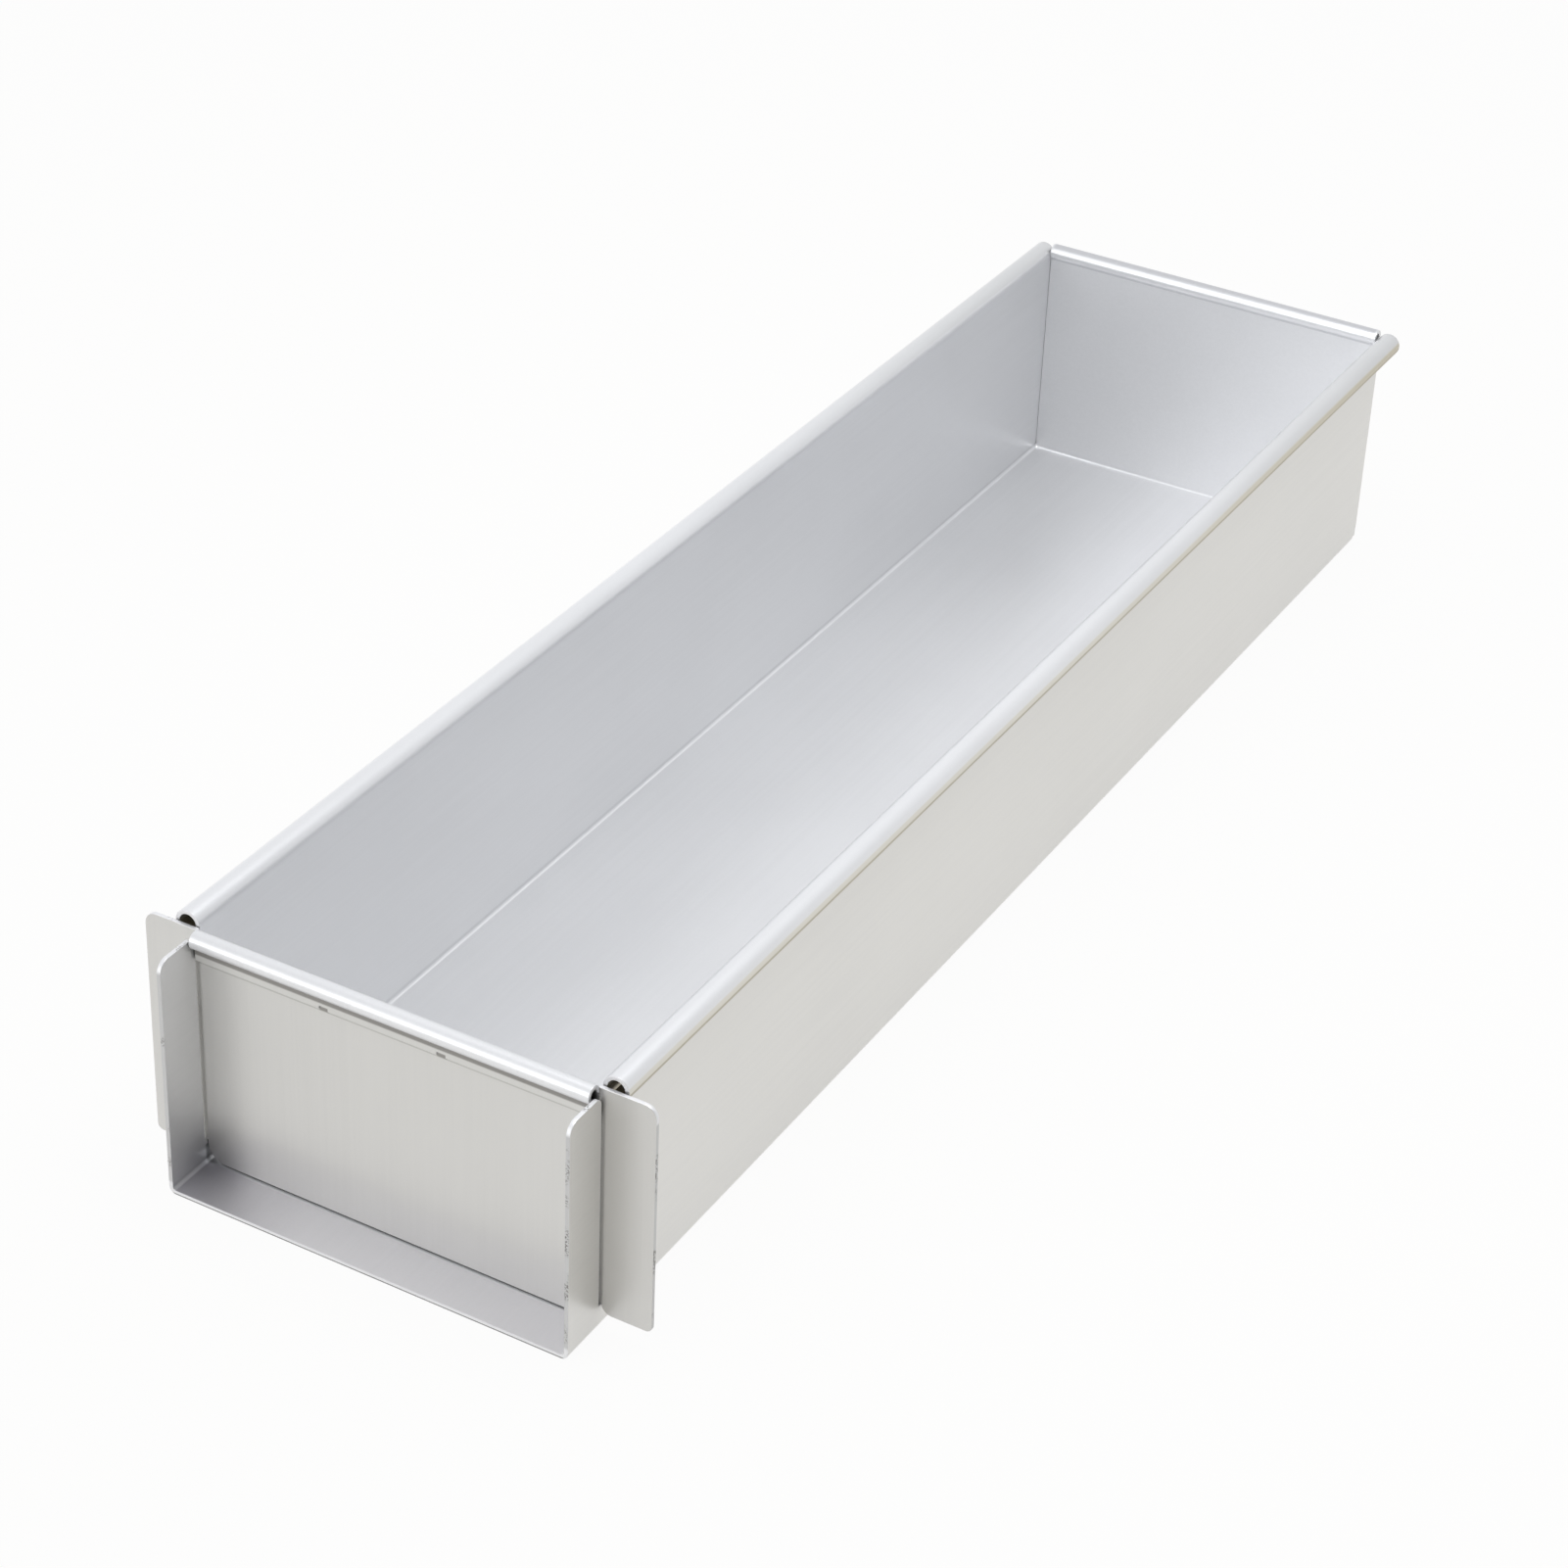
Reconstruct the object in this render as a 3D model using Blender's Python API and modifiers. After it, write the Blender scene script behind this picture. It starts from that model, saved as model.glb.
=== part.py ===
"""Rectangular cake pan with a lift-out end gate.

A long trough is folded from one aluminium sheet: floor, two side walls with curled rims, and a
far end wall with a smaller curl, closed at its corners by two tabs behind it. The trough runs on
past its front end as a U-shaped lip. A gate, cut and rolled from a second sheet, closes that end:
its two ears pass out through slots in the side walls, and it lifts straight up out of them.
Metres, +Z up, +Y along the pan to its closed end.
"""
import math

import bmesh
import bpy
from mathutils import Vector

# Sizes of the trough
INNER_WIDTH = 0.100
INNER_LENGTH = 0.400
RIM_HEIGHT = 0.0650
SHEET = 0.0010
BEND_RADIUS = 0.0015
RIM_DIAMETER = 0.0062

# Sizes of the closed end
END_ROLL_RISE = 0.0005
END_ROLL_TOP = RIM_HEIGHT + END_ROLL_RISE
END_ROLL_DIAMETER = 0.0044
END_ROLL_INSET = 0.0007
END_ROLL_BEND_RADIUS = 0.0006
TAB_WIDTH = 0.0120
TAB_FOOT = 0.0040
TAB_BEND_RADIUS = 0.0004

# Sizes of the lip in front of the gate
LIP_REACH = 0.0124
LIP_DROP = 0.0045
LIP_HEIGHT = RIM_HEIGHT - LIP_DROP
LIP_FRONT_RADIUS = 0.0030
LIP_REAR_RADIUS = 0.0020
SLOT_FLOOR = 0.0063
SLOT_FRONT_GAP = 0.0007

# Sizes of the gate
EAR_REACH = 0.0124
EAR_DROP = 0.0030
EAR_TOP = RIM_HEIGHT - EAR_DROP
EAR_HANG = 0.0022
EAR_FOOT = SLOT_FLOOR - EAR_HANG
EAR_TOP_RADIUS = 0.0030
EAR_FOOT_RADIUS = 0.0015
EAR_HEEL_RADIUS = 0.0023
GATE_CORNER_RADIUS = 0.0045
GATE_ROLL_DROP = 0.0023
GATE_ROLL_TOP = RIM_HEIGHT - GATE_ROLL_DROP
GATE_ROLL_DIAMETER = 0.0043
GATE_ROLL_INSET = 0.0005
HEM_DEPTH = 0.0075
HEM_EDGE = GATE_ROLL_TOP - HEM_DEPTH
HEM_BEND_RADIUS = 0.0004

# Clearance between faces that touch or slide on the real pan
FIT_GAP = 0.0003

# How closely two points of the mesh must agree to be one point
SAME_POINT = 0.000001
MERGE_DISTANCE = 0.00001

# Facets of the bends
BEND_STEPS = 4
ROLL_STEPS = 18
CORNER_STEPS = 5

QUARTER_TURN = math.pi / 2
HALF_TURN = math.pi

# Places along the pan, with the origin under the middle of its outline
overall_length = LIP_REACH + SHEET + INNER_LENGTH - END_ROLL_INSET + END_ROLL_DIAMETER
front_edge_y = -overall_length / 2
gate_front_y = front_edge_y + LIP_REACH
gate_back_y = gate_front_y + SHEET
end_wall_y = gate_back_y + INNER_LENGTH
slot_front_y = gate_front_y - SLOT_FRONT_GAP
slot_rear_y = gate_back_y + FIT_GAP
floor_end_y = end_wall_y - BEND_RADIUS
tab_y = end_wall_y + SHEET + FIT_GAP
tab_bend_y = tab_y - TAB_BEND_RADIUS
rim_end_y = tab_y + SHEET

# Places across the pan and up its walls
wall_x = INNER_WIDTH / 2
floor_side_x = wall_x - BEND_RADIUS
wall_foot_z = SHEET + BEND_RADIUS
rim_radius = RIM_DIAMETER / 2
wall_top_z = RIM_HEIGHT - rim_radius
end_roll_radius = END_ROLL_DIAMETER / 2
end_roll_z = END_ROLL_TOP - end_roll_radius
end_roll_y = end_wall_y - END_ROLL_INSET + end_roll_radius
end_bend_reach = end_roll_radius + END_ROLL_BEND_RADIUS
end_bend_turn = math.acos((end_bend_reach - END_ROLL_INSET) / end_bend_reach)
end_bend_z = end_roll_z - end_bend_reach * math.sin(end_bend_turn)
tab_top_z = min(END_ROLL_TOP - END_ROLL_DIAMETER, wall_top_z) - FIT_GAP


def near(value, target):
    """Whether two places agree."""
    return abs(value - target) < SAME_POINT


def edges_at(bm, **place):
    """The edges whose two ends both lie at the given x, y or z."""
    axes = {"x": 0, "y": 1, "z": 2}
    return [
        edge for edge in bm.edges
        if all(near(vert.co[axes[axis]], value) for vert in edge.verts for axis, value in place.items())
    ]


def middle(edge):
    """The middle point of an edge."""
    return (edge.verts[0].co + edge.verts[1].co) / 2


def extend(bm, edges, offset):
    """Draw the sheet out from some of its edges by an offset, and return the new outer edges."""
    new = bmesh.ops.extrude_edge_only(bm, edges=edges)["geom"]
    verts = [item for item in new if isinstance(item, bmesh.types.BMVert)]
    bmesh.ops.translate(bm, verts=verts, vec=offset)
    return [item for item in new if isinstance(item, bmesh.types.BMEdge)
            and all(vert in verts for vert in item.verts)]


def fold(bm, edges, centre, axis, angle, steps):
    """Bend the sheet round an axis from some of its edges, and return the new outer edges."""
    verts = list({vert for edge in edges for vert in edge.verts})
    last = bmesh.ops.spin(
        bm, geom=verts + edges, cent=centre, axis=axis, angle=angle, steps=steps)["geom_last"]
    return [item for item in last if isinstance(item, bmesh.types.BMEdge)]


def round_corner(bm, place, radius):
    """Round the corner of a flat sheet that lies at one place."""
    corner = [vert for vert in bm.verts if (vert.co - Vector(place)).length < SAME_POINT]
    bmesh.ops.bevel(
        bm, geom=corner, offset=radius, offset_type="OFFSET", segments=CORNER_STEPS,
        profile=0.5, affect="VERTICES", material=-1)


def face_towards(bm, direction):
    """Make the sheet's faces agree, with its largest face looking along a direction."""
    bmesh.ops.recalc_face_normals(bm, faces=bm.faces)
    largest = max(bm.faces, key=lambda face: face.calc_area())
    if largest.normal.dot(Vector(direction)) < 0:
        bmesh.ops.reverse_faces(bm, faces=bm.faces)


def curl_turn(radius, inset):
    """The angle of a curl, set in from its wall by an inset, that ends one clearance short of it."""
    return QUARTER_TURN * 3 + math.asin((radius - inset - SHEET - FIT_GAP) / radius)


def aluminium(name, color, roughness):
    """Satin anodised aluminium."""
    material = bpy.data.materials.new(name)
    material.use_nodes = True
    shader = material.node_tree.nodes["Principled BSDF"]
    shader.inputs["Base Color"].default_value = (*color, 1.0)
    shader.inputs["Metallic"].default_value = 1.0
    shader.inputs["Roughness"].default_value = roughness
    material.diffuse_color = (*color, 1.0)
    return material


def sheet_object(bm, name, material, collection):
    """An object from half of an open sheet: mirrored across the pan, then given its thickness."""
    bmesh.ops.remove_doubles(bm, verts=bm.verts, dist=MERGE_DISTANCE)
    mesh = bpy.data.meshes.new(name)
    bm.to_mesh(mesh)
    bm.free()
    mesh.materials.append(material)
    mesh.shade_smooth()
    piece = bpy.data.objects.new(name, mesh)
    collection.objects.link(piece)
    mirror = piece.modifiers.new("other_half", "MIRROR")
    mirror.use_axis = (True, False, False)
    mirror.merge_threshold = MERGE_DISTANCE
    thickness = piece.modifiers.new("sheet_thickness", "SOLIDIFY")
    thickness.thickness = SHEET
    thickness.offset = -1
    thickness.use_even_offset = True
    thickness.use_quality_normals = True
    return piece


def column_top(y):
    """How high the side wall stands at a place along the pan."""
    if y < slot_front_y:
        return LIP_HEIGHT
    if y < slot_rear_y:
        return SLOT_FLOOR
    return wall_top_z


def build_floor(bm):
    """The flat floor, divided along its length where the walls change height."""
    corners = [bm.verts.new((x, front_edge_y, SHEET)) for x in (0, floor_side_x)]
    edges = [bm.edges.new(corners)]
    y = front_edge_y
    for next_y in (slot_front_y, slot_rear_y, floor_end_y):
        edges = extend(bm, edges, (0, next_y - y, 0))
        y = next_y


def build_side_wall(bm):
    """The side wall, folded up from the floor, with its slot left open at the gate."""
    edges = fold(
        bm, edges_at(bm, x=floor_side_x, z=SHEET), (floor_side_x, 0, wall_foot_z),
        (0, -1, 0), QUARTER_TURN, BEND_STEPS)
    z = wall_foot_z
    for level in sorted({TAB_FOOT, SLOT_FLOOR, LIP_HEIGHT, tab_top_z, wall_top_z}):
        edges = [edge for edge in edges if column_top(middle(edge).y) > level - SAME_POINT]
        edges = extend(bm, edges, (0, 0, level - z))
        z = level


def build_corner(bm):
    """The rounded inner corner where the two bends of the floor meet."""
    ends = [
        edge for edge in edges_at(bm, y=floor_end_y)
        if floor_side_x < middle(edge).x < wall_x and middle(edge).z < wall_foot_z
    ]
    fold(bm, ends, (floor_side_x, floor_end_y, 0), (0, 0, 1), QUARTER_TURN, BEND_STEPS)


def build_tab(bm):
    """The far edge of the side wall, with the tab that folds behind the end wall."""
    edges = extend(bm, edges_at(bm, x=wall_x, y=floor_end_y), (0, tab_bend_y - floor_end_y, 0))
    tab = [edge for edge in edges if TAB_FOOT < middle(edge).z < tab_top_z]
    above = [edge for edge in edges if middle(edge).z > tab_top_z]
    extend(bm, above, (0, rim_end_y - tab_bend_y, 0))
    tab = fold(
        bm, tab, (wall_x - TAB_BEND_RADIUS, tab_bend_y, 0), (0, 0, 1), QUARTER_TURN, BEND_STEPS)
    extend(bm, tab, (-TAB_WIDTH, 0, 0))


def build_rim(bm):
    """The curl along the top of the side wall."""
    top = [edge for edge in edges_at(bm, x=wall_x, z=wall_top_z) if middle(edge).y > slot_rear_y]
    fold(bm, top, (wall_x + rim_radius, 0, wall_top_z), (0, 1, 0), curl_turn(rim_radius, 0), ROLL_STEPS)


def build_end_wall(bm):
    """The end wall, folded up from the floor, leaning in a little under the curl along its top."""
    edges = fold(
        bm, edges_at(bm, y=floor_end_y, z=SHEET), (0, floor_end_y, wall_foot_z), (1, 0, 0),
        QUARTER_TURN, BEND_STEPS)
    extend(bm, edges, (0, 0, end_bend_z - wall_foot_z))
    side = edges_at(bm, x=floor_side_x, y=end_wall_y)
    extend(bm, side, (BEND_RADIUS - FIT_GAP, 0, 0))
    top = fold(
        bm, edges_at(bm, y=end_wall_y, z=end_bend_z), (0, end_wall_y - END_ROLL_BEND_RADIUS, end_bend_z),
        (1, 0, 0), end_bend_turn, BEND_STEPS)
    turn = end_bend_turn + curl_turn(end_roll_radius, END_ROLL_INSET)
    fold(bm, top, (0, end_roll_y, end_roll_z), (-1, 0, 0), turn, ROLL_STEPS)


def build_pan_body(collection):
    """The trough, folded from one sheet."""
    bm = bmesh.new()
    build_floor(bm)
    build_side_wall(bm)
    build_corner(bm)
    build_end_wall(bm)
    build_tab(bm)
    build_rim(bm)
    round_corner(bm, (wall_x, front_edge_y, LIP_HEIGHT), LIP_FRONT_RADIUS)
    round_corner(bm, (wall_x, slot_front_y, LIP_HEIGHT), LIP_REAR_RADIUS)
    bmesh.ops.remove_doubles(bm, verts=bm.verts, dist=MERGE_DISTANCE)
    face_towards(bm, (0, 0, 1))
    material = aluminium("pan_aluminium", (0.78, 0.78, 0.79), 0.36)
    return sheet_object(bm, "pan_body", material, collection)


def build_gate(collection):
    """The gate: a plate with two ears, its top edge rolled forward and hemmed flat below."""
    foot_z = SHEET + FIT_GAP
    plate_x = wall_x - FIT_GAP
    ear_inner_x = wall_x + SHEET + FIT_GAP
    ear_outer_x = wall_x + SHEET + EAR_REACH
    notch_z = SLOT_FLOOR + FIT_GAP - foot_z
    ear_foot_z = EAR_FOOT - foot_z
    ear_top_z = EAR_TOP - foot_z
    roll_radius = GATE_ROLL_DIAMETER / 2
    roll_z = GATE_ROLL_TOP - roll_radius - foot_z
    roll_x = wall_x - GATE_ROLL_INSET
    slit_x = roll_x + FIT_GAP
    back = SHEET
    outline = [
        (0, 0), (plate_x, 0), (plate_x, notch_z), (ear_inner_x, notch_z), (ear_inner_x, ear_foot_z),
        (ear_outer_x, ear_foot_z), (ear_outer_x, ear_top_z), (slit_x, ear_top_z), (slit_x, roll_z),
        (roll_x, roll_z), (0, roll_z),
    ]
    bm = bmesh.new()
    bm.faces.new([bm.verts.new((x, back, z)) for x, z in outline])
    top = [edge for edge in edges_at(bm, z=roll_z) if middle(edge).x < roll_x]
    hem_face = -(SHEET + FIT_GAP)
    roll_centre = back - roll_radius
    hem_centre = hem_face - HEM_BEND_RADIUS
    reach = roll_radius + HEM_BEND_RADIUS
    hem_turn = math.acos((roll_centre - hem_centre) / reach)
    edges = fold(bm, top, (0, roll_centre, roll_z), (1, 0, 0), HALF_TURN + hem_turn, ROLL_STEPS)
    hem_centre_z = roll_z - reach * math.sin(hem_turn)
    edges = fold(bm, edges, (0, hem_centre, hem_centre_z), (-1, 0, 0), hem_turn, BEND_STEPS)
    extend(bm, edges, (0, 0, HEM_EDGE - foot_z - hem_centre_z))
    round_corner(bm, (plate_x, back, 0), min(GATE_CORNER_RADIUS, notch_z))
    round_corner(bm, (ear_inner_x, back, ear_foot_z), min(EAR_HEEL_RADIUS, notch_z - ear_foot_z))
    round_corner(bm, (ear_outer_x, back, ear_foot_z), EAR_FOOT_RADIUS)
    round_corner(bm, (ear_outer_x, back, ear_top_z), EAR_TOP_RADIUS)
    face_towards(bm, (0, 1, 0))
    material = aluminium("gate_aluminium", (0.77, 0.77, 0.75), 0.38)
    gate = sheet_object(bm, "lift_out_gate", material, collection)
    gate.location = (0, gate_front_y, foot_z)
    return gate


def main():
    for old in list(bpy.data.objects):
        bpy.data.objects.remove(old, do_unlink=True)
    pan = bpy.data.collections.new("rectangular_cake_pan")
    bpy.context.scene.collection.children.link(pan)
    build_pan_body(pan)
    build_gate(pan)


main()
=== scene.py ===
"""Looks of the rectangular cake pan with its lift-out end gate.

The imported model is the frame. Two finer pieces stand for its two solids: the trough, folded from one
sheet of satin anodised aluminium, and the gate, cut and rolled from another. Both are drawn as half
of an open sheet, mirrored, and given the sheet's thickness last. Metres, +Z up, +Y to the closed end.
"""
import math

import bmesh
import bpy
from mathutils import Matrix, Vector


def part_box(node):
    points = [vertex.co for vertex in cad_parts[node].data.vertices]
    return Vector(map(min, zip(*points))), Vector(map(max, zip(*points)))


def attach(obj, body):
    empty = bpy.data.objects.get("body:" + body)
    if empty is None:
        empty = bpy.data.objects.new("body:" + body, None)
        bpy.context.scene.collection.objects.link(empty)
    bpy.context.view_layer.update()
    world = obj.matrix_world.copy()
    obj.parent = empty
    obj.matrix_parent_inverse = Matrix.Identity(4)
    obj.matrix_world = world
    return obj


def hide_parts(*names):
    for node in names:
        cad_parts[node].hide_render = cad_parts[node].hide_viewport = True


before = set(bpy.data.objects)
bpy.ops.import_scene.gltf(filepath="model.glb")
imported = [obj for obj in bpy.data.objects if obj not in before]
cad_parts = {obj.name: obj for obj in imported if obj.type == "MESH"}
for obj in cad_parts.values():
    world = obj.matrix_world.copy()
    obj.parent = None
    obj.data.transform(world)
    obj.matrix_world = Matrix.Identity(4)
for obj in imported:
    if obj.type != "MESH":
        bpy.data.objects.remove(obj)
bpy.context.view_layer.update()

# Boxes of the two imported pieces, which give the trough and the gate their outer sizes
pan_low, pan_high = (Vector(corner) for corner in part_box("pan_body"))
gate_low, gate_high = (Vector(corner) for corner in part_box("lift_out_gate"))

# The sheet, its folds and the clearance between faces that touch on the real pan
SHEET = 0.0010
BEND_RADIUS = 0.0008
FIT_GAP = 0.0003
SEAM_GAP = 0.00005
EDGE_BREAK = 0.00014

# Curls and tabs of the trough
RIM_DIAMETER = 0.0062
RIM_TOP = 0.0650
END_ROLL_TOP = 0.0655
END_ROLL_DIAMETER = 0.0044
END_ROLL_INSET = 0.0007
END_ROLL_BEND_RADIUS = 0.0006
TAB_WIDTH = 0.0120
TAB_FOOT = 0.0040
TAB_BEND_RADIUS = 0.0004

# The lip in front of the gate, and the slots behind it
LIP_REACH = 0.0124
LIP_HEIGHT = 0.0605
LIP_FRONT_RADIUS = 0.0030
LIP_REAR_RADIUS = 0.0020
SLOT_FLOOR = 0.0063
SLOT_FRONT_GAP = 0.0007

# The gate
EAR_TOP = 0.0620
EAR_FOOT = 0.0041
EAR_TOP_RADIUS = 0.0030
EAR_FOOT_RADIUS = 0.0015
EAR_HEEL_RADIUS = 0.0023
GATE_CORNER_RADIUS = 0.0045
GATE_ROLL_TOP = 0.0627
GATE_ROLL_DIAMETER = 0.0043
GATE_ROLL_INSET = 0.0005
HEM_EDGE = 0.0552
HEM_BEND_RADIUS = 0.0004

# Small nicks left along the lower edge of the gate's hem by the folding tool
HEM_NICK_START = -0.0166
HEM_NICK_PITCH = 0.0293
HEM_NICK_COUNT = 2
HEM_NICK_WIDTH = 0.0022
HEM_NICK_HEIGHT = 0.0008
# How far the painted shade behind the nicks drops below the hem's edge, and how far it is shifted across
NICK_SHADE_DROP = 0.0011
NICK_SHADE_SHIFT = 0.0006

# How far the painted shade in the lip's left corner reaches
CORNER_SHADE_REACH = 0.0150

# How closely two points of a mesh must agree to be one point
SAME_POINT = 0.000001
MERGE_DISTANCE = 0.00001

# Facets of the bends
BEND_STEPS = 10
ROLL_STEPS = 56
CORNER_STEPS = 10
EDGE_BREAK_STEPS = 2
SHARP_ANGLE = math.radians(50)

QUARTER_TURN = math.pi / 2
HALF_TURN = math.pi

# Places along the pan, across it and up its walls
front_edge_y = pan_low.y
gate_front_y = front_edge_y + LIP_REACH
gate_back_y = gate_front_y + SHEET
end_wall_y = pan_high.y - END_ROLL_DIAMETER + END_ROLL_INSET
slot_front_y = gate_front_y - SLOT_FRONT_GAP
slot_rear_y = gate_back_y + FIT_GAP
floor_end_y = end_wall_y - BEND_RADIUS
tab_y = end_wall_y + SHEET + FIT_GAP
tab_bend_y = tab_y - TAB_BEND_RADIUS
rim_end_y = tab_y + SHEET
wall_x = pan_high.x - RIM_DIAMETER
floor_side_x = wall_x - BEND_RADIUS
wall_foot_z = SHEET + BEND_RADIUS
rim_radius = RIM_DIAMETER / 2
wall_top_z = RIM_TOP - rim_radius
end_roll_radius = END_ROLL_DIAMETER / 2
end_roll_z = END_ROLL_TOP - end_roll_radius
end_roll_y = pan_high.y - end_roll_radius
end_bend_reach = end_roll_radius + END_ROLL_BEND_RADIUS
end_bend_turn = math.acos((end_bend_reach - END_ROLL_INSET) / end_bend_reach)
end_bend_z = end_roll_z - end_bend_reach * math.sin(end_bend_turn)
tab_top_z = END_ROLL_TOP - END_ROLL_DIAMETER - FIT_GAP

# Places of the gate's roll and of the hem below it
gate_roll_radius = GATE_ROLL_DIAMETER / 2
gate_roll_x = wall_x - GATE_ROLL_INSET
gate_roll_y = gate_back_y - gate_roll_radius
gate_roll_z = GATE_ROLL_TOP - gate_roll_radius
hem_y = gate_front_y - SHEET - FIT_GAP
hem_bend_y = hem_y - HEM_BEND_RADIUS
hem_bend_reach = gate_roll_radius + HEM_BEND_RADIUS
hem_turn = math.acos((gate_roll_y - hem_bend_y) / hem_bend_reach)
hem_bend_z = gate_roll_z - hem_bend_reach * math.sin(hem_turn)

# The camera of the photograph
CAMERA_PLACE = Vector((0.37053, -0.71522, 0.52667))
CAMERA_AIM = Vector((-0.01017, -0.03235, 0.03000))
CAMERA_ROLL = math.radians(2.234)
LENS_MM = 88.169
CAMERA_SHIFT = (0.0222, -0.0128)

# The floor that the pan stands on
FLOOR_SIDE = 8.0
FLOOR_COLOUR = (0.66, 0.64, 0.58)
FLOOR_WHITE = 0.95

# The satin coating: its two tones and how the clouds, the grain and the rolling lines mix them
SATIN_PALE = (0.832, 0.836, 0.846)
SATIN_DEEP = (0.797, 0.801, 0.811)
CLOUD_SCALE = 16
CLOUD_DETAIL = 3
GRAIN_SCALE = 2600
GRAIN_HARDNESS = 0.6
LINE_SCALE_ALONG = 14
LINE_SCALE_ACROSS = 900
CLOUD_SHARE = 0.5
GRAIN_SHARE = 0.25
LINE_SHARE = 0.25
TONE_SPREAD = (0.35, 0.65)

# How metallic, rough and grainy the satin coating is
METAL_SHARE = 0.6
SATIN_ROUGHNESS = 0.28
CLOUD_ROUGHNESS = 0.05
GRAIN_ROUGHNESS = 0.04
GRAIN_HEIGHT_SHARE = 0.8
LINE_HEIGHT_SHARE = 0.2
SATIN_BUMP = 0.25
SATIN_BUMP_HEIGHT = 0.00006

# The sheared edges: their tones, their tears and how rough and uneven they are
EDGE_BRIGHT = (0.84, 0.84, 0.85)
EDGE_PALE = (0.60, 0.60, 0.60)
EDGE_TORN = (0.26, 0.25, 0.24)
EDGE_DARK = (0.22, 0.22, 0.22)
SCRATCH_SCALE = 2100
SCRATCH_DETAIL = 3
SCRATCH_SPREAD = (0.46, 0.58)
TEAR_SCALE = 130
TEAR_SPREAD = (0.55, 0.66)
TORN_LOW_SHARE = 0.25
TORN_HIGH_SHARE = 0.4
EDGE_ROUGHNESS = 0.45
TORN_ROUGHNESS = 0.2
EDGE_GRAIN_SCALE = 5000
EDGE_BUMP = 0.3
EDGE_BUMP_HEIGHT = 0.00005

# Where the tints of painted shade and reflected light end on the curls, as shares of a curl's radius, and in
# the sheet, as shares of it
UNDERSIDE_SHADE_TOP_SHARE = 0.25
GROOVE_TOP_SHARE = 0.2
WARM_SHADE_TOP_SHARE = 0.35
WARM_SHADE_SIDE_SHARE = 1.4
TOP_SHADE_SHARE = 0.8
SKIN_LOW_SHARE = 0.3
SKIN_HIGH_SHARE = 0.7
CORNER_SHADE_LOW_SHARE = 0.4
CORNER_SHADE_HIGH_SHARE = 0.8

# Heights at which painted shade begins and ends: on the lip's floor, behind the gate's corners, and below the
# hem's bend and its edge
LIP_TINT_SPAN = (0.0007, 0.0015)
CORNER_SHADE_FOOT = 0.0007
CORNER_SHADE_FADE = 0.0004
GROOVE_SHADE_RISE = 0.0011
HEM_SHADE_DROPS = (0.0013, 0.0007)
PLATE_SKIN = FIT_GAP / 3

# How the colour is darkened with painted shade deep in the creases: how near the next face is, how closed in
# a place has to be, and how much darker it gets there
CREASE_REACH = 0.0028
CREASE_SPREAD = (0.20, 0.58)
CREASE_DEPTH = 0.90
CREASE_COLOUR = (0.07, 0.068, 0.066)
CREASE_SAMPLES = 16

# How much less the painted shade darkens the creases at the end wall, where the folding has pressed them
# shut, and how far in front of it that begins
END_CREASE_EASE = 0.88
END_CREASE_REACH = 0.0030

# The light tent round the pan, and the parts of it that are lit otherwise: its roof, two lit panels
# at its front left, the second low down, and its opening. Each has the side it is on, the cosines
# of the angles from its middle at which it begins and is complete, and its light.
TENT_COLOUR = (0.97, 0.98, 1.0)
TENT_LIGHT = 0.88
TENT_PARTS = (
    ((0, 0, 1), (0.65, 0.95), 0.80),
    ((-0.15, -0.88, 0.45), (0.85, 0.975), 1.6),
    ((-0.44, -0.895, 0.08), (0.88, 0.98), 2.5),
    ((0.80, -0.48, 0.35), (0.45, 0.90), 0.10),
)

# The soft box above the pan: where it hangs, where it looks, how wide it is and its power
SOFT_BOX_PLACE = Vector((0.10, -0.05, 0.60))
SOFT_BOX_AIM = Vector((0, 0.20, 0.04))
SOFT_BOX_SIDE = 0.4
SOFT_BOX_POWER = 1.9


def near(value, target):
    """Whether two places agree."""
    return abs(value - target) < SAME_POINT


def edges_at(bm, **place):
    """The edges whose two ends both lie at the given x, y or z."""
    axes = {"x": 0, "y": 1, "z": 2}
    return [
        edge for edge in bm.edges
        if all(near(vert.co[axes[axis]], value) for vert in edge.verts for axis, value in place.items())
    ]


def middle(edge):
    """The middle point of an edge."""
    return (edge.verts[0].co + edge.verts[1].co) / 2


def extend(bm, edges, offset):
    """Draw the sheet out from some of its edges by an offset, and return the new outer edges."""
    new = bmesh.ops.extrude_edge_only(bm, edges=edges)["geom"]
    verts = [item for item in new if isinstance(item, bmesh.types.BMVert)]
    bmesh.ops.translate(bm, verts=verts, vec=offset)
    return [item for item in new if isinstance(item, bmesh.types.BMEdge)
            and all(vert in verts for vert in item.verts)]


def fold(bm, edges, centre, axis, angle, steps):
    """Bend the sheet round an axis from some of its edges, and return the new outer edges."""
    verts = list({vert for edge in edges for vert in edge.verts})
    last = bmesh.ops.spin(
        bm, geom=verts + edges, cent=centre, axis=axis, angle=angle, steps=steps)["geom_last"]
    return [item for item in last if isinstance(item, bmesh.types.BMEdge)]


def round_corner(bm, place, radius):
    """Round the corner of a flat sheet that lies at one place."""
    corner = [vert for vert in bm.verts if (vert.co - Vector(place)).length < SAME_POINT]
    bmesh.ops.bevel(
        bm, geom=corner, offset=radius, offset_type="OFFSET", segments=CORNER_STEPS,
        profile=0.5, affect="VERTICES", material=-1)


def curl_turn(radius, inset):
    """The angle of a curl, set in from its wall by an inset, that ends one clearance short of it."""
    return QUARTER_TURN * 3 + math.asin((radius - inset - SHEET - FIT_GAP) / radius)


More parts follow.
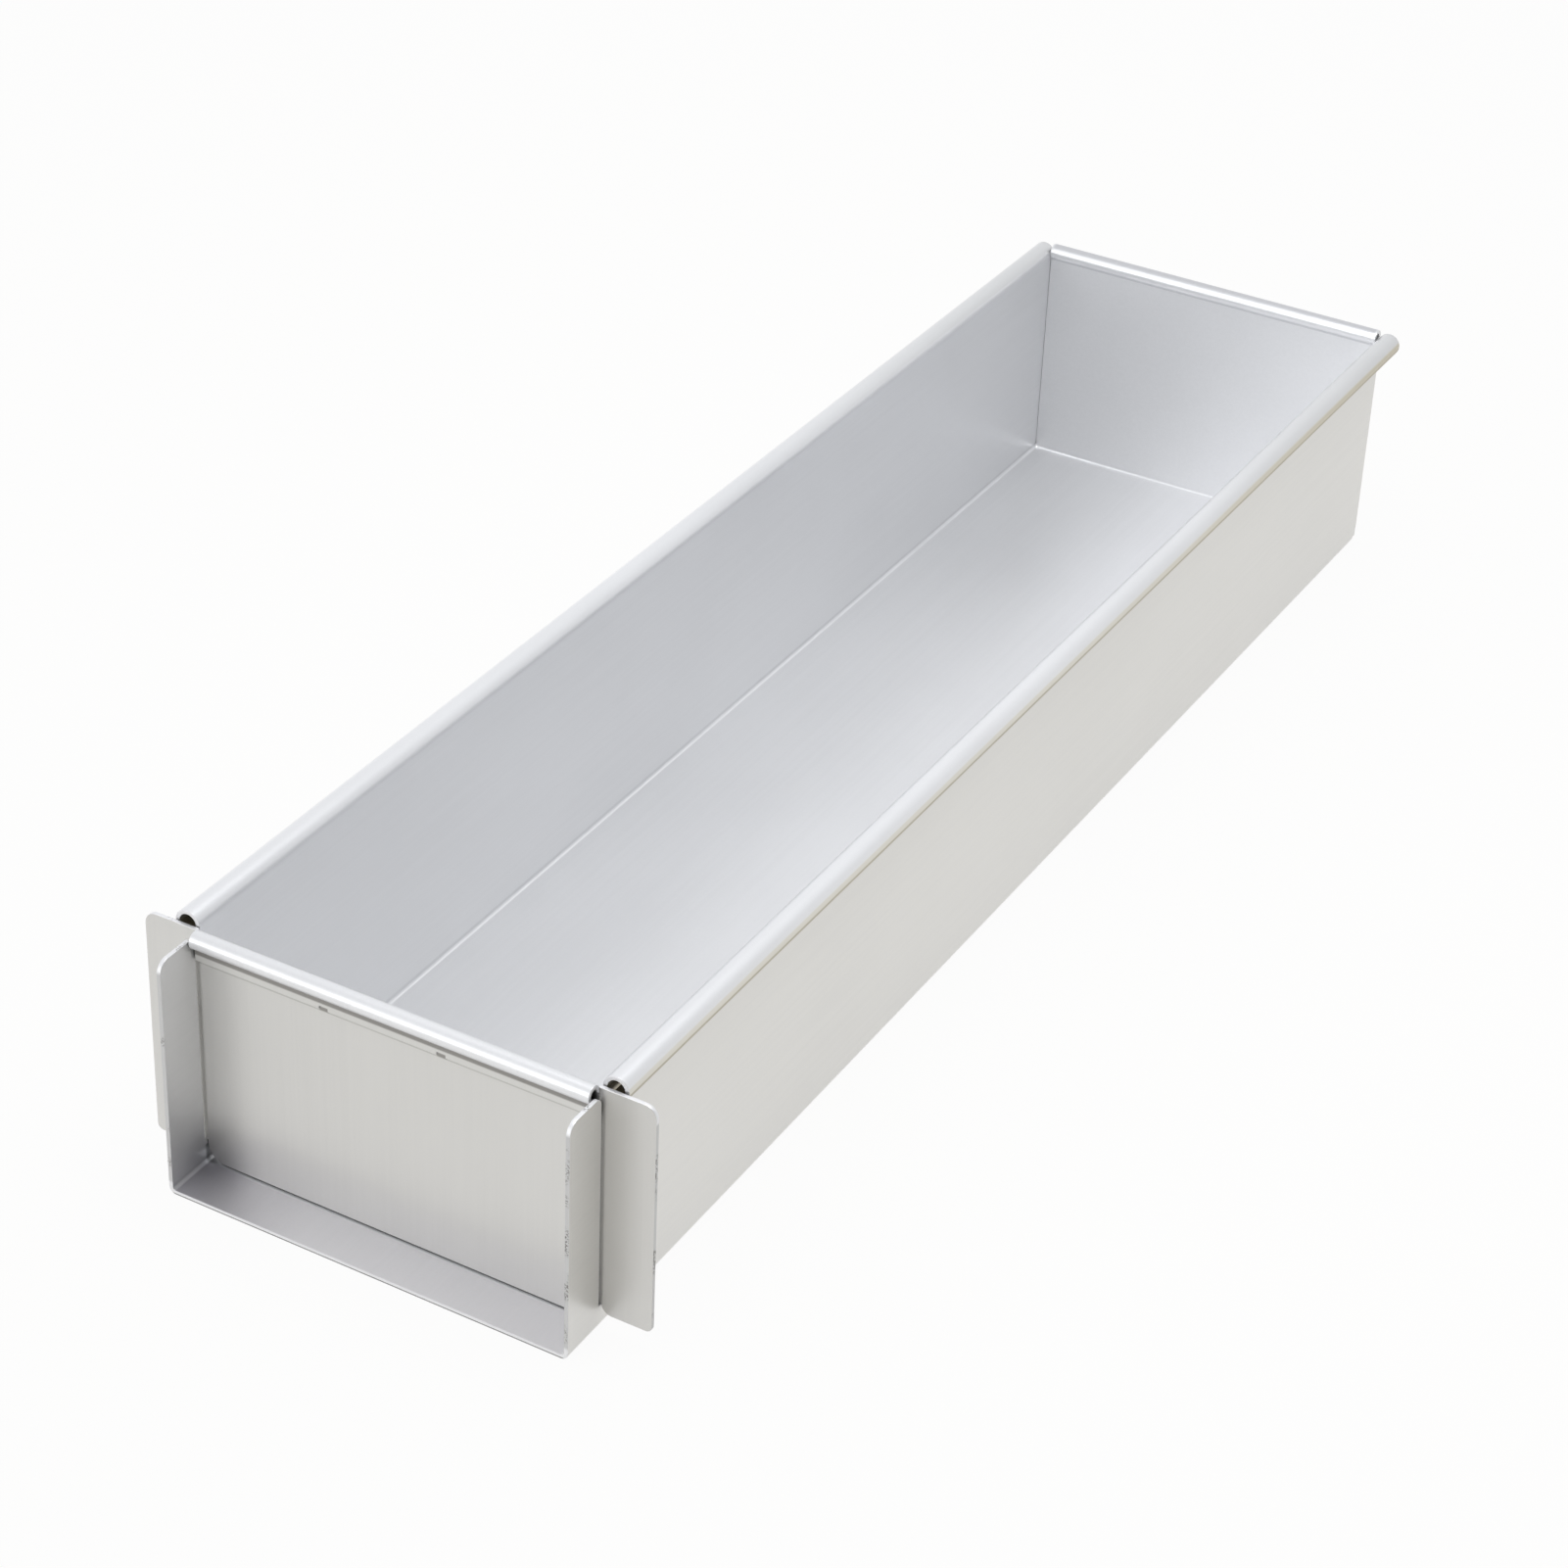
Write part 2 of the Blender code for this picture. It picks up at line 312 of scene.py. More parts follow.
def both_halves(bm, direction):
    """Mirror half of a sheet across the pan, with its largest face looking along a direction."""
    bmesh.ops.remove_doubles(bm, verts=bm.verts, dist=MERGE_DISTANCE)
    bmesh.ops.mirror(
        bm, geom=bm.verts[:] + bm.edges[:] + bm.faces[:], matrix=Matrix(), merge_dist=MERGE_DISTANCE,
        axis="X")
    bmesh.ops.remove_doubles(bm, verts=bm.verts, dist=MERGE_DISTANCE)
    bmesh.ops.recalc_face_normals(bm, faces=bm.faces)
    largest = max(bm.faces, key=lambda face: face.calc_area())
    if largest.normal.dot(Vector(direction)) < 0:
        bmesh.ops.reverse_faces(bm, faces=bm.faces)


def cut_sheet(bm, name, face_finish, edge_finish):
    """A piece from an open sheet: its thickness, its sheared edges and their broken corners."""
    mesh = bpy.data.meshes.new(name)
    bm.to_mesh(mesh)
    bm.free()
    mesh.materials.append(face_finish)
    mesh.materials.append(edge_finish)
    mesh.shade_smooth()
    piece = bpy.data.objects.new(name, mesh)
    bpy.context.scene.collection.objects.link(piece)
    thickness = piece.modifiers.new("sheet_thickness", "SOLIDIFY")
    thickness.thickness = SHEET
    thickness.offset = -1
    thickness.use_even_offset = True
    thickness.use_quality_normals = True
    thickness.material_offset_rim = 1
    broken = piece.modifiers.new("broken_edges", "BEVEL")
    broken.width = EDGE_BREAK
    broken.segments = EDGE_BREAK_STEPS
    broken.limit_method = "ANGLE"
    broken.angle_limit = SHARP_ANGLE
    flat = piece.modifiers.new("flat_faces", "WEIGHTED_NORMAL")
    flat.keep_sharp = True
    return piece


def column_top(y):
    """How high the side wall stands at a place along the pan."""
    if y < slot_front_y:
        return LIP_HEIGHT
    if y < slot_rear_y:
        return SLOT_FLOOR
    return wall_top_z


def draw_floor(bm):
    """The flat floor, divided along its length where the walls change height."""
    corners = [bm.verts.new((x, front_edge_y, SHEET)) for x in (0, floor_side_x)]
    edges = [bm.edges.new(corners)]
    y = front_edge_y
    for next_y in (slot_front_y, slot_rear_y, floor_end_y):
        edges = extend(bm, edges, (0, next_y - y, 0))
        y = next_y


def fold_side_wall(bm):
    """The side wall, folded up from the floor, with its slot left open at the gate."""
    edges = fold(
        bm, edges_at(bm, x=floor_side_x, z=SHEET), (floor_side_x, 0, wall_foot_z),
        (0, -1, 0), QUARTER_TURN, BEND_STEPS)
    z = wall_foot_z
    for level in sorted({TAB_FOOT, SLOT_FLOOR, LIP_HEIGHT, tab_top_z, wall_top_z}):
        edges = [edge for edge in edges if column_top(middle(edge).y) > level - SAME_POINT]
        edges = extend(bm, edges, (0, 0, level - z))
        z = level


def fold_floor_corner(bm):
    """The rounded inner corner where the two bends of the floor meet."""
    ends = [
        edge for edge in edges_at(bm, y=floor_end_y)
        if floor_side_x < middle(edge).x < wall_x and middle(edge).z < wall_foot_z
    ]
    fold(bm, ends, (floor_side_x, floor_end_y, 0), (0, 0, 1), QUARTER_TURN, BEND_STEPS)


def fold_tab(bm):
    """The far edge of the side wall, with the tab that folds behind the end wall."""
    edges = extend(bm, edges_at(bm, x=wall_x, y=floor_end_y), (0, tab_bend_y - floor_end_y, 0))
    tab = [edge for edge in edges if TAB_FOOT < middle(edge).z < tab_top_z]
    above = [edge for edge in edges if middle(edge).z > tab_top_z]
    extend(bm, above, (0, rim_end_y - tab_bend_y, 0))
    tab = fold(
        bm, tab, (wall_x - TAB_BEND_RADIUS, tab_bend_y, 0), (0, 0, 1), QUARTER_TURN, BEND_STEPS)
    extend(bm, tab, (-TAB_WIDTH, 0, 0))


def curl_rim(bm):
    """The curl along the top of the side wall."""
    top = [edge for edge in edges_at(bm, x=wall_x, z=wall_top_z) if middle(edge).y > slot_rear_y]
    turn = curl_turn(rim_radius, 0)
    fold(bm, top, (wall_x + rim_radius, 0, wall_top_z), (0, 1, 0), turn, ROLL_STEPS)


def fold_end_wall(bm):
    """The end wall, folded up from the floor, leaning in a little under the curl along its top."""
    edges = fold(
        bm, edges_at(bm, y=floor_end_y, z=SHEET), (0, floor_end_y, wall_foot_z), (1, 0, 0),
        QUARTER_TURN, BEND_STEPS)
    extend(bm, edges, (0, 0, end_bend_z - wall_foot_z))
    side = edges_at(bm, x=floor_side_x, y=end_wall_y)
    extend(bm, side, (BEND_RADIUS - SEAM_GAP, 0, 0))
    top = fold(
        bm, edges_at(bm, y=end_wall_y, z=end_bend_z), (0, end_wall_y - END_ROLL_BEND_RADIUS, end_bend_z),
        (1, 0, 0), end_bend_turn, BEND_STEPS)
    turn = end_bend_turn + curl_turn(end_roll_radius, END_ROLL_INSET)
    fold(bm, top, (0, end_roll_y, end_roll_z), (-1, 0, 0), turn, ROLL_STEPS)


def make_trough(face_finish, edge_finish):
    """The trough, folded from one sheet."""
    bm = bmesh.new()
    draw_floor(bm)
    fold_side_wall(bm)
    fold_floor_corner(bm)
    fold_end_wall(bm)
    fold_tab(bm)
    curl_rim(bm)
    round_corner(bm, (wall_x, front_edge_y, LIP_HEIGHT), LIP_FRONT_RADIUS)
    round_corner(bm, (wall_x, slot_front_y, LIP_HEIGHT), LIP_REAR_RADIUS)
    both_halves(bm, (0, 0, 1))
    return cut_sheet(bm, "folded_trough", face_finish, edge_finish)


def nick_hem(bm):
    """Small nicks in the lower edge of the hem, at even steps across the gate."""
    top_z = HEM_EDGE + HEM_NICK_HEIGHT
    for step in range(HEM_NICK_COUNT):
        centre_x = HEM_NICK_START + HEM_NICK_PITCH * step
        sides = (centre_x - HEM_NICK_WIDTH / 2, centre_x + HEM_NICK_WIDTH / 2)
        cuts = [((x, 0, 0), (1, 0, 0)) for x in sides] + [((0, 0, top_z), (0, 0, 1))]
        for place, across in cuts:
            faces = [face for face in bm.faces if near(face.normal.y, -1) or near(face.normal.y, 1)]
            faces = [face for face in faces if near(face.calc_center_median().y, hem_y)]
            around = {item for face in faces for item in (*face.verts, *face.edges)}
            bmesh.ops.bisect_plane(
                bm, geom=faces + list(around), dist=SAME_POINT, plane_co=place, plane_no=across)
        gone = [
            face for face in bm.faces
            if near(face.calc_center_median().y, hem_y)
            and sides[0] < face.calc_center_median().x < sides[1]
            and face.calc_center_median().z < top_z
        ]
        bmesh.ops.delete(bm, geom=gone, context="FACES")


def make_gate(face_finish, edge_finish):
    """The gate: a plate with two ears, its top edge rolled forward and hemmed flat below."""
    foot_z = gate_low.z
    plate_x = wall_x - FIT_GAP
    ear_inner_x = wall_x + SHEET + FIT_GAP
    ear_outer_x = gate_high.x
    notch_z = SLOT_FLOOR + FIT_GAP
    slit_x = gate_roll_x + FIT_GAP
    back = gate_back_y
    outline = [
        (0, foot_z), (plate_x, foot_z), (plate_x, notch_z), (ear_inner_x, notch_z),
        (ear_inner_x, EAR_FOOT), (ear_outer_x, EAR_FOOT), (ear_outer_x, EAR_TOP), (slit_x, EAR_TOP),
        (slit_x, gate_roll_z), (gate_roll_x, gate_roll_z), (0, gate_roll_z),
    ]
    bm = bmesh.new()
    bm.faces.new([bm.verts.new((x, back, z)) for x, z in outline])
    top = [edge for edge in edges_at(bm, z=gate_roll_z) if middle(edge).x < gate_roll_x]
    edges = fold(bm, top, (0, gate_roll_y, gate_roll_z), (1, 0, 0), HALF_TURN + hem_turn, ROLL_STEPS)
    edges = fold(bm, edges, (0, hem_bend_y, hem_bend_z), (-1, 0, 0), hem_turn, BEND_STEPS)
    extend(bm, edges, (0, 0, HEM_EDGE - hem_bend_z))
    round_corner(bm, (plate_x, back, foot_z), GATE_CORNER_RADIUS)
    round_corner(bm, (ear_inner_x, back, EAR_FOOT), EAR_HEEL_RADIUS)
    round_corner(bm, (ear_outer_x, back, EAR_FOOT), EAR_FOOT_RADIUS)
    round_corner(bm, (ear_outer_x, back, EAR_TOP), EAR_TOP_RADIUS)
    both_halves(bm, (0, 1, 0))
    nick_hem(bm)
    return cut_sheet(bm, "rolled_gate", face_finish, edge_finish)


class Value:
    """A socket of a finish: sums on it add the Math nodes that work them out."""

    def __init__(self, finish, socket):
        self.finish = finish
        self.socket = socket

    def math(self, operation, first, second):
        return self.finish.add("ShaderNodeMath", {0: first, 1: second}, operation=operation)

    def __add__(self, other):
        return self.math("ADD", self, other)

    def __radd__(self, other):
        return self.math("ADD", other, self)

    def __sub__(self, other):
        return self.math("SUBTRACT", self, other)

    def __rsub__(self, other):
        return self.math("SUBTRACT", other, self)

    def __mul__(self, other):
        return self.math("MULTIPLY", self, other)

    def __rmul__(self, other):
        return self.math("MULTIPLY", other, self)


class Finish:
    """A material or world under construction, with one way to add any node to it."""

    def __init__(self, owner):
        owner.use_nodes = True
        self.owner = owner
        self.tree = owner.node_tree
        self.tree.nodes.clear()

    def add(self, kind, inputs=None, output=0, **settings):
        """A new node of a kind, with its settings made first and then its inputs set or linked."""
        node = self.tree.nodes.new(kind)
        for setting, value in settings.items():
            setattr(node, setting, value)
        for name, value in (inputs or {}).items():
            if isinstance(value, Value):
                self.tree.links.new(value.socket, node.inputs[name])
            else:
                node.inputs[name].default_value = value
        return Value(self, node.outputs[output]) if node.outputs else None

    def place(self, stretch=(1, 1, 1)):
        """Places on the object in metres, stretched along its axes."""
        spot = self.add("ShaderNodeTexCoord", output="Object")
        return self.add("ShaderNodeMapping", {"Vector": spot, "Scale": stretch})

    def along(self, axis):
        """Place along one axis of the object, in metres."""
        return self.add("ShaderNodeSeparateXYZ", {"Vector": self.place()}, output=axis)

    def within(self, value, low, high, fade):
        """How far a value lies between two limits, from 0 to 1, fading outside them."""
        return self.ramp(value, low - fade, low) * (1 - self.ramp(value, high, high + fade))

    def noise(self, place, scale, detail=2.0, roughness=0.5):
        """Cloudy noise from 0 to 1."""
        return self.add(
            "ShaderNodeTexNoise",
            {"Vector": place, "Scale": scale, "Detail": detail, "Roughness": roughness}, output="Fac")

    def ramp(self, value, low, high):
        """How far a value has gone from low to high, from 0 to 1, eased at both ends."""
        return self.add(
            "ShaderNodeMapRange", {"Value": value, "From Min": low, "From Max": high},
            interpolation_type="SMOOTHSTEP", clamp=True)

    def blend(self, share, first, second):
        """A colour between two."""
        return self.add(
            "ShaderNodeMix", {"Factor": share, 6: first, 7: second}, output=2, data_type="RGBA")


def new_finish(name):
    """An empty material with its finish."""
    return Finish(bpy.data.materials.new(name))


def opaque(red, green, blue):
    """A colour with full cover."""
    return (red, green, blue, 1.0)


def from_middle(finish):
    """How far a place lies from the middle of the pan, to either side."""
    side = finish.along("X")
    return side.math("ABSOLUTE", side, 0)


def outside(finish):
    """Where the trough's side walls and curls look outward."""
    return finish.ramp(from_middle(finish), wall_x + SHEET * SKIN_LOW_SHARE, wall_x + SHEET * SKIN_HIGH_SHARE)


def outside_warm_reflection(finish):
    """Where a painted warm reflected light tints the trough: its outer faces below the middle of the curls.
    """
    return outside(finish) * (1 - finish.ramp(finish.along("Z"), wall_top_z - SHEET, wall_top_z + SHEET))


def on_curls(finish, low_z, high_z):
    """The long curls of the trough between two heights."""
    return (
        outside(finish) * finish.within(finish.along("Z"), low_z, high_z, SHEET / 2)
        * finish.ramp(finish.along("Y"), slot_rear_y - FIT_GAP, slot_rear_y))


def curl_underside_shade(finish):
    """Painted shade on the trough: the lower halves of its long curls."""
    return on_curls(finish, wall_top_z - rim_radius, wall_top_z + rim_radius * UNDERSIDE_SHADE_TOP_SHARE)


def curl_groove_shade(finish):
    """Painted shade below the long curls, in the angle that they make with the wall."""
    return on_curls(finish, wall_top_z - rim_radius - SHEET, wall_top_z - rim_radius * GROOVE_TOP_SHARE)


def far_curl_shade(finish):
    """Painted shade on the long curls, darker towards their far ends."""
    return on_curls(finish, wall_top_z, RIM_TOP) * finish.ramp(finish.along("Y"), 0, end_wall_y)


def far_underside_warm_shade(finish):
    """Painted warm shade on the outer sides of the long curls, towards their far ends."""
    return (
        on_curls(finish, wall_top_z - rim_radius, wall_top_z + rim_radius * WARM_SHADE_TOP_SHARE)
        * finish.ramp(from_middle(finish), wall_x + rim_radius, wall_x + rim_radius * WARM_SHADE_SIDE_SHARE)
        * finish.ramp(finish.along("Y"), 0, end_wall_y))


def end_curl_top_shade(finish):
    """Painted shade on the top of the end wall's curl."""
    high_z = end_roll_z + end_roll_radius * TOP_SHADE_SHARE
    return (
        finish.ramp(finish.along("Z"), high_z - SHEET / 3, high_z)
        * finish.ramp(finish.along("Y"), end_wall_y - SHEET, end_wall_y)
        * (1 - finish.ramp(from_middle(finish), wall_x - SHEET, wall_x)))


def end_curl_foot_shade(finish):
    """Painted shade in the bend below the end wall's curl."""
    return (
        finish.within(finish.along("Z"), end_bend_z, end_bend_z + SHEET / 2, FIT_GAP)
        * finish.ramp(finish.along("Y"), end_wall_y - SHEET, end_wall_y - SHEET / 2)
        * (1 - finish.ramp(from_middle(finish), wall_x - SHEET / 2, wall_x)))


def floor_bend_highlight(finish):
    """Painted highlight inside the trough: the bends beside its floor."""
    return (
        finish.ramp(from_middle(finish), floor_side_x, floor_side_x + BEND_RADIUS / 2)
        * (1 - finish.ramp(finish.along("Z"), wall_foot_z - BEND_RADIUS / 2, wall_foot_z)))


def wall_foot_shade(finish):
    """Painted shade in the trough: a fine line on the side walls, just above their bends."""
    return (
        finish.ramp(from_middle(finish), floor_side_x, wall_x) * (1 - outside(finish))
        * finish.within(finish.along("Z"), wall_foot_z, wall_foot_z + SHEET / 2, FIT_GAP))


def gate_corner_shade(finish):
    """Painted shade in the trough: in its bends behind the rounded corners of the gate."""
    return (
        finish.ramp(from_middle(finish), wall_x - GATE_CORNER_RADIUS, wall_x - SHEET)
        * (1 - outside(finish))
        * finish.within(finish.along("Z"), CORNER_SHADE_FOOT, SLOT_FLOOR - SHEET, CORNER_SHADE_FADE)
        * finish.within(finish.along("Y"), gate_front_y, gate_back_y + LIP_REACH / 2, SHEET))


def lip_floor(finish):
    """Where a cool painted shade lies on the trough: on the lip's floor."""
    return (
        (1 - finish.ramp(finish.along("Y"), gate_front_y - SHEET, gate_front_y))
        * (1 - finish.ramp(from_middle(finish), wall_x - SHEET, wall_x))
        * finish.within(finish.along("Z"), *LIP_TINT_SPAN, FIT_GAP))


def lip_shade(finish):
    """Painted shade on the lip's floor, darker towards its left end."""
    return lip_floor(finish) * (1 - finish.ramp(finish.along("X"), -wall_x, -wall_x / 4))


def lip_corner_shade(finish):
    """Painted shade in the lip's left corner, on the gate and on the trough."""
    plate_low_y = gate_front_y + SHEET * CORNER_SHADE_LOW_SHARE
    plate_high_y = gate_front_y + SHEET * CORNER_SHADE_HIGH_SHARE
    return (
        (1 - finish.ramp(finish.along("X"), CORNER_SHADE_REACH / 4 - wall_x, CORNER_SHADE_REACH - wall_x))
        * (1 - finish.ramp(finish.along("Z"), SHEET, CORNER_SHADE_REACH))
        * (1 - finish.ramp(finish.along("Y"), plate_low_y, plate_high_y))
        * finish.ramp(finish.along("Y"), gate_front_y - LIP_REACH * 2, gate_front_y)
        * finish.ramp(finish.along("X"), -wall_x - SHEET * SKIN_HIGH_SHARE, -wall_x - SHEET * SKIN_LOW_SHARE))


def below_roll_shade(finish):
    """The gate's plate, hem and ears, tinted darker and warmer than its roll as painted shade and painted
    warm reflected light.
    """
    roll = (
        finish.ramp(finish.along("Z"), hem_bend_z + FIT_GAP, hem_bend_z + FIT_GAP * 3)
        * (1 - finish.ramp(from_middle(finish), gate_roll_x, gate_roll_x + FIT_GAP)))
    return 1 - roll


def hem_groove_shade(finish):
    """Painted shade in the groove between the gate's roll and its hem."""
    return (
        finish.within(finish.along("Z"), hem_bend_z - SHEET, hem_bend_z + GROOVE_SHADE_RISE, SHEET / 2)
        * (1 - finish.ramp(finish.along("Y"), hem_y + FIT_GAP, hem_y + SHEET)))


def plate_front(finish):
    """The front face of the gate's plate."""
    return finish.within(finish.along("Y"), gate_front_y - PLATE_SKIN, gate_front_y + FIT_GAP, PLATE_SKIN)


def hem_shade(finish):
    """A faint line of painted shade on the gate's plate, below the edge of the hem."""
    foot_z, top_z = (HEM_EDGE - drop for drop in HEM_SHADE_DROPS)
    return (
        finish.within(finish.along("Z"), foot_z, top_z, FIT_GAP) * plate_front(finish)
        * (1 - finish.ramp(from_middle(finish), gate_roll_x, gate_roll_x + FIT_GAP)))


def nick_shade(finish):
    """Painted shade behind the nicks of the hem."""
    across = finish.along("X")
    behind = (
        finish.within(finish.along("Z"), HEM_EDGE - NICK_SHADE_DROP, HEM_EDGE + HEM_NICK_HEIGHT, FIT_GAP)
        * plate_front(finish))
    reach = HEM_NICK_WIDTH / 2
    marks = 0
    for step in range(HEM_NICK_COUNT):
        centre_x = HEM_NICK_START + HEM_NICK_PITCH * step - NICK_SHADE_SHIFT
        marks = finish.within(across, centre_x - reach, centre_x + reach, FIT_GAP) + marks
    return behind * marks


# The tints of the trough and of the gate, all painted shade, painted highlight or painted reflected light:
# where each lies and the colour that it multiplies there
PAN_TINTS = (
    (outside_warm_reflection, (0.97, 0.955, 0.915)),
    (curl_underside_shade, (0.90, 0.87, 0.79)),
    (curl_groove_shade, (0.58, 0.54, 0.45)),
    (far_curl_shade, (0.88, 0.88, 0.87)),
    (far_underside_warm_shade, (0.91, 0.87, 0.77)),
    (end_curl_top_shade, (0.74, 0.74, 0.75)),
    (end_curl_foot_shade, (0.82, 0.82, 0.83)),
    (floor_bend_highlight, (1.10, 1.10, 1.10)),
    (wall_foot_shade, (0.90, 0.90, 0.90)),
    (gate_corner_shade, (0.28, 0.28, 0.28)),
    (lip_floor, (0.98, 0.965, 0.985)),
    (lip_shade, (0.80, 0.79, 0.81)),
    (lip_corner_shade, (0.77, 0.77, 0.79)),
)
GATE_TINTS = (
    (below_roll_shade, (0.838, 0.824, 0.788)),
    (hem_groove_shade, (0.42, 0.41, 0.40)),
    (hem_shade, (0.80, 0.80, 0.79)),
    (nick_shade, (0.56, 0.55, 0.54)),
    (lip_corner_shade, (0.76, 0.76, 0.78)),
)


def satin_anodised(name, line_scales, tints):
    """Satin anodised sheet: fine blasted grain over faint lines along the way it was rolled.

    Each tint is a share of the surface and the colour that it multiplies there.
    """
    finish = new_finish(name)
    place = finish.place()
    cloud = finish.noise(place, CLOUD_SCALE, CLOUD_DETAIL)
    grain = finish.noise(place, GRAIN_SCALE, 2, GRAIN_HARDNESS)
    lines = finish.noise(finish.place(line_scales), 1, 2)
    shade = cloud * CLOUD_SHARE + grain * GRAIN_SHARE + lines * LINE_SHARE
    colour = finish.blend(finish.ramp(shade, *TONE_SPREAD), opaque(*SATIN_DEEP), opaque(*SATIN_PALE))
    for share, tint in tints:
        colour = finish.add(
            "ShaderNodeMix", {"Factor": share(finish), 6: colour, 7: opaque(*tint)}, output=2,
            data_type="RGBA", blend_type="MULTIPLY")
    # Painted shade: ambient occlusion darkens the colour deep in the creases, less at the end wall
    openness = finish.add(
        "ShaderNodeAmbientOcclusion", {"Distance": CREASE_REACH}, output="AO", samples=CREASE_SAMPLES)
    pressed = finish.ramp(finish.along("Y"), end_wall_y - END_CREASE_REACH, end_wall_y - SHEET)
    crease = (1 - finish.ramp(openness, *CREASE_SPREAD)) * (1 - pressed * END_CREASE_EASE)
    colour = finish.blend(crease * CREASE_DEPTH, colour, opaque(*CREASE_COLOUR))
    height = grain * GRAIN_HEIGHT_SHARE + lines * LINE_HEIGHT_SHARE
    bump = finish.add(
        "ShaderNodeBump", {"Height": height, "Strength": SATIN_BUMP, "Distance": SATIN_BUMP_HEIGHT},
        output="Normal")
    surface = finish.add("ShaderNodeBsdfPrincipled", {
        "Base Color": colour, "Metallic": METAL_SHARE,
        "Roughness": SATIN_ROUGHNESS + cloud * CLOUD_ROUGHNESS + grain * GRAIN_ROUGHNESS,
        "Normal": bump})
    finish.add("ShaderNodeOutputMaterial", {"Surface": surface})
    return finish.owner


def sheared_edge(name):
    """Edge of the sheet as the shear left it, with small dark tears along it.

    The floor's front edge is bright where the shear has cut it, and dark below, where it has torn off and
    where a painted shadow lies along its foot.
    """
    finish = new_finish(name)
    place = finish.place()
    high = finish.along("Z")
    upright = finish.within(high, wall_foot_z * 2, LIP_HEIGHT - LIP_FRONT_RADIUS, SHEET)
    front = 1 - finish.ramp(high, SHEET, SHEET + BEND_RADIUS)
    scratches = finish.noise(place, SCRATCH_SCALE, SCRATCH_DETAIL)
    tears = finish.noise(place, TEAR_SCALE, 2)
    torn = finish.ramp(tears, *TEAR_SPREAD) * finish.ramp(scratches, *SCRATCH_SPREAD)
    # Painted shade: the upright edges take a darker tone, and the edges at the floor and along the tops stay
    # bright
    whole = finish.blend(upright, opaque(*EDGE_BRIGHT), opaque(*EDGE_PALE))
    colour = finish.blend(torn * (1 - front), whole, opaque(*EDGE_TORN))
    below = 1 - finish.ramp(high, SHEET * TORN_LOW_SHARE, SHEET * TORN_HIGH_SHARE)
    colour = finish.blend(front * below, colour, opaque(*EDGE_DARK))
    fine = finish.noise(place, EDGE_GRAIN_SCALE, 2)
    bump = finish.add(
        "ShaderNodeBump", {"Height": fine, "Strength": EDGE_BUMP, "Distance": EDGE_BUMP_HEIGHT},
        output="Normal")
    surface = finish.add("ShaderNodeBsdfPrincipled", {
        "Base Color": colour, "Metallic": METAL_SHARE,
        "Roughness": EDGE_ROUGHNESS + torn * TORN_ROUGHNESS, "Normal": bump})
    finish.add("ShaderNodeOutputMaterial", {"Surface": surface})
    return finish.owner


def lay_floor():
    """A wide pale floor, white to the camera and in the metal, with a faint shadow."""
    bm = bmesh.new()
    bmesh.ops.create_grid(bm, x_segments=1, y_segments=1, size=FLOOR_SIDE / 2)
    mesh = bpy.data.meshes.new("floor")
    bm.to_mesh(mesh)
    bm.free()
    finish = new_finish("pale_floor")
    rays = [
        finish.add("ShaderNodeLightPath", output=kind)
        for kind in ("Is Camera Ray", "Is Glossy Ray", "Is Transmission Ray")
    ]
    seen = finish.ramp(rays[0] + rays[1] + rays[2], 0, 1)
    paper = finish.add("ShaderNodeBsdfDiffuse", {"Color": opaque(*FLOOR_COLOUR)})
    white = finish.add("ShaderNodeEmission", {"Color": opaque(1, 1, 1), "Strength": 1.0})
    shown = finish.add("ShaderNodeMixShader", {0: seen * FLOOR_WHITE, 1: paper, 2: white})
    finish.add("ShaderNodeOutputMaterial", {"Surface": shown})
    mesh.materials.append(finish.owner)
    floor = bpy.data.objects.new("floor", mesh)
    bpy.context.scene.collection.objects.link(floor)


